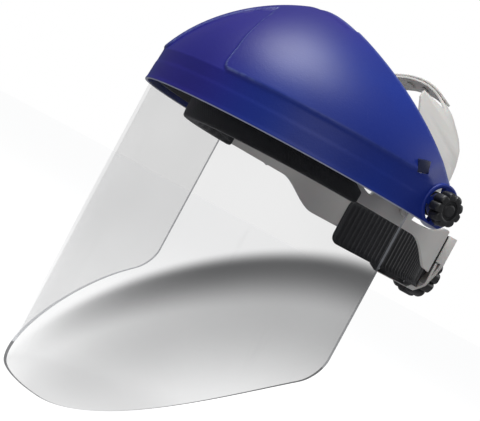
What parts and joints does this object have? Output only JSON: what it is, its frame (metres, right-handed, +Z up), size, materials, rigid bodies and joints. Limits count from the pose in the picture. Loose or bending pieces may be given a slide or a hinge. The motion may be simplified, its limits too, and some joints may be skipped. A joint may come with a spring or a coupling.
{
  "type": "face shield",
  "caption": "Face shield worn on a ratchet headband: a blue crown with a clear bent window turns up on temple pivots; an overhead strap carries the weight.",
  "frame": {"origin": "middle of the line through the two temple pivots, where the wearer's head holds the shield", "axes": "as worn: +Z up, -Y towards the wearer's front, +X towards the wearer's left, along the visor's pivot axis"},
  "size_m": [0.2402, 0.2557, 0.2853],
  "materials": {
    "blue_shell": "satin moulded blue plastic",
    "clear_sheet": "clear bent plastic sheet",
    "black_pad": "soft black padding",
    "zinc_steel": "zinc plated",
    "brass_insert": "turned",
    "black_plastic": "moulded black",
    "pale_plastic": "satin pale grey"
  },
  "bodies": {
    "headband": {"detent_washer": "zinc_steel", "friction_washer_left": "zinc_steel", "friction_washer_right": "zinc_steel", "headband_frame": "pale_plastic", "housing_base": "black_plastic", "housing_screw_left_high": "zinc_steel", "housing_screw_left_low": "zinc_steel", "housing_screw_right_high": "zinc_steel", "housing_screw_right_low": "zinc_steel", "nape_pad": "black_pad", "overhead_strap_left": "pale_plastic", "pivot_spacer_left": "black_plastic", "pivot_spacer_right": "black_plastic", "pivot_stud_left": "zinc_steel", "pivot_stud_right": "zinc_steel", "ratchet_housing": "pale_plastic", "strap_peg_left": "pale_plastic", "strap_peg_right": "pale_plastic", "strap_rivet_left": "pale_plastic", "strap_rivet_right": "pale_plastic", "sweatband": "black_pad"},
    "visor": {"crown_shell": "blue_shell", "face_window": "clear_sheet", "window_retainer": "black_plastic", "window_peg_left": "black_plastic", "window_peg_middle": "black_plastic", "window_peg_right": "black_plastic", "latch_bracket_left": "blue_shell", "latch_bracket_right": "blue_shell", "latch_pin_left": "zinc_steel", "latch_pin_right": "zinc_steel"},
    "latch_left": {"window_latch_left": "blue_shell"},
    "latch_right": {"window_latch_right": "blue_shell"},
    "pivot_knob_left": {"pivot_knob_left": "black_plastic", "knob_insert_left": "brass_insert"},
    "pivot_knob_right": {"pivot_knob_right": "black_plastic", "knob_insert_right": "brass_insert"},
    "crown_strap": {"overhead_strap_right": "pale_plastic"},
    "ratchet": {"ratchet_knob": "black_plastic", "pinion": "black_plastic"},
    "tail_left": {"rack_tail_left": "pale_plastic"},
    "tail_right": {"rack_tail_right": "pale_plastic"}
  },
  "joints": [
    {"name": "visor_tilt", "type": "hinge", "parent": "headband", "child": "visor", "pos_m": [0, 0, 0], "axis": [-1, 0, 0], "range_deg": [0, 90]},
    {"name": "left_knob_turn", "type": "hinge", "parent": "headband", "child": "pivot_knob_left", "pos_m": [0, 0, 0], "axis": [1, 0, 0], "continuous": true},
    {"name": "right_knob_turn", "type": "hinge", "parent": "headband", "child": "pivot_knob_right", "pos_m": [0, 0, 0], "axis": [-1, 0, 0], "continuous": true},
    {"name": "left_latch_press", "type": "hinge", "parent": "visor", "child": "latch_left", "pos_m": [0.0972, -0.0238, 0.02], "axis": [0, 1, 0], "range_deg": [0, 6], "stiffness_Nm_per_rad": 0.15},
    {"name": "right_latch_press", "type": "hinge", "parent": "visor", "child": "latch_right", "pos_m": [-0.0972, -0.0238, 0.02], "axis": [0, -1, 0], "range_deg": [0, 6], "stiffness_Nm_per_rad": 0.15},
    {"name": "strap_adjust", "type": "hinge", "parent": "headband", "child": "crown_strap", "pos_m": [0, 0.013, 0], "axis": [0, 0.9583, -0.2857], "range_deg": [-4, 4]},
    {"name": "ratchet_turn", "type": "hinge", "parent": "headband", "child": "ratchet", "pos_m": [0, 0.1, -0.034], "axis": [0, 1, 0], "range_deg": [-150, 150]},
    {"name": "left_tail_slide", "type": "hinge", "parent": "headband", "child": "tail_left", "pos_m": [0, 0.0192, -0.034], "axis": [0, 0, 1], "range_deg": [-12, 12]},
    {"name": "right_tail_slide", "type": "hinge", "parent": "headband", "child": "tail_right", "pos_m": [0, 0.0192, -0.034], "axis": [0, 0, 1], "range_deg": [-12, 12]}
  ],
  "couplings": [
    {"joint": "left_tail_slide", "follows": "ratchet_turn", "ratio": -0.05905},
    {"joint": "right_tail_slide", "follows": "ratchet_turn", "ratio": 0.057789}
  ]
}
